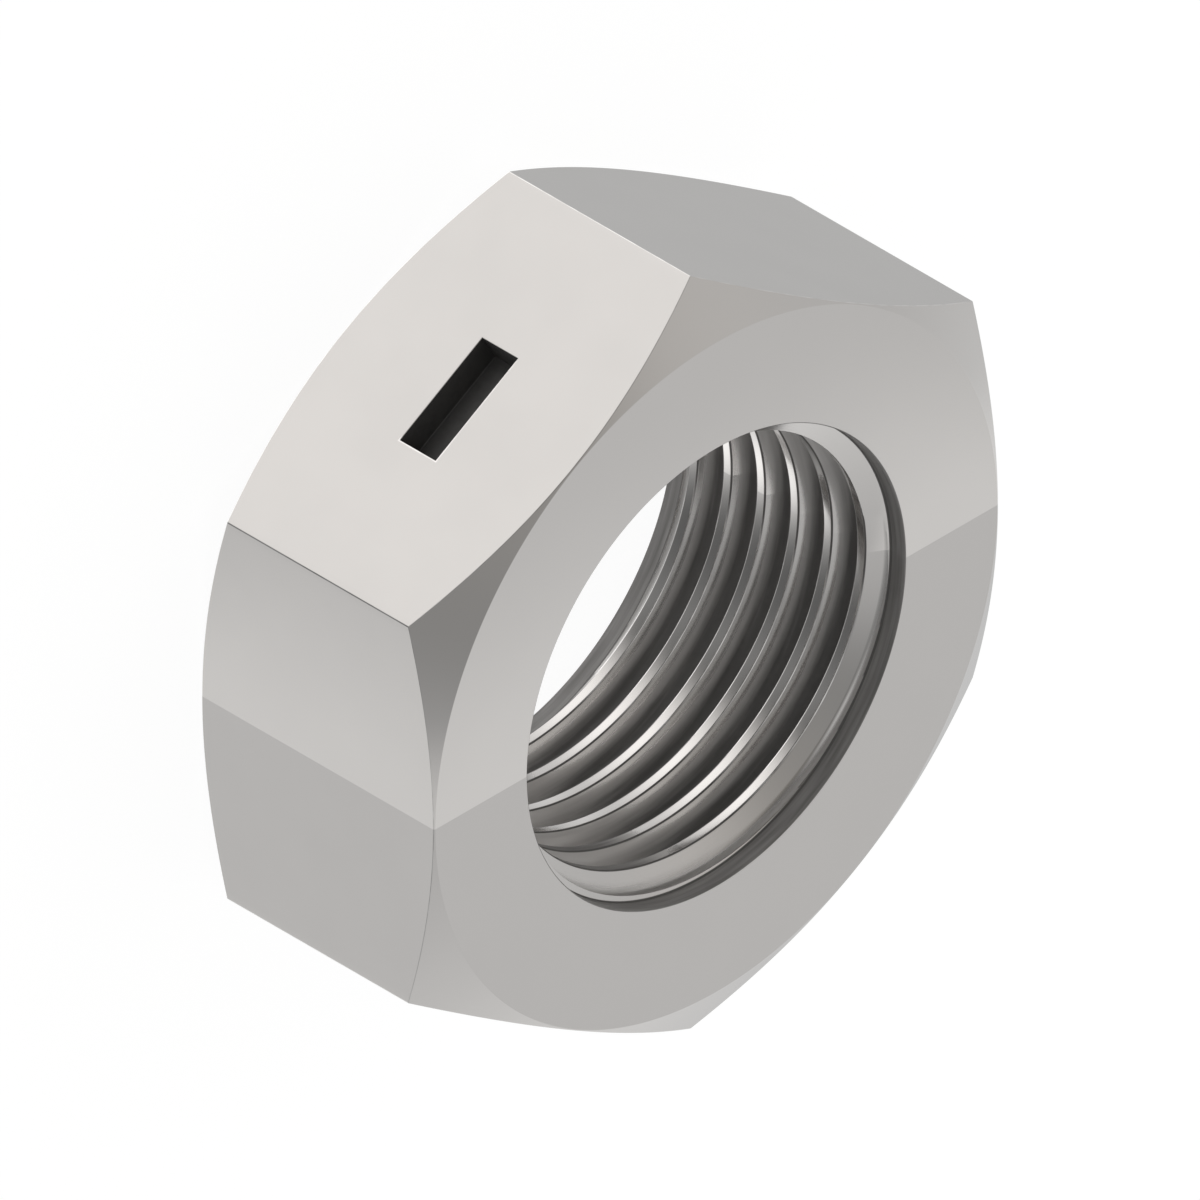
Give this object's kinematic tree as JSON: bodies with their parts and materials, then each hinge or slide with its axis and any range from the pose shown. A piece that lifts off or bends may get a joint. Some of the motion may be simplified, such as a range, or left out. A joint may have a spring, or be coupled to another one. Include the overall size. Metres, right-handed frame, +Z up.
{
  "type": "center lock nut",
  "caption": "Thin steel hexagon lock nut with chamfered corners, a fine internal thread and small rectangular locking pockets in alternate flats.",
  "frame": {"origin": "middle of the lower bearing face, on the axis of the bore", "axes": "+Z up along the bore, away from the face it lies on; +X through the middle of a flat that has a locking pocket; +Y through a corner"},
  "size_m": [0.0238, 0.0274, 0.0098],
  "materials": {
    "steel": "satin"
  },
  "bodies": {
    "root": {"lock_nut": "steel"}
  },
  "joints": []
}
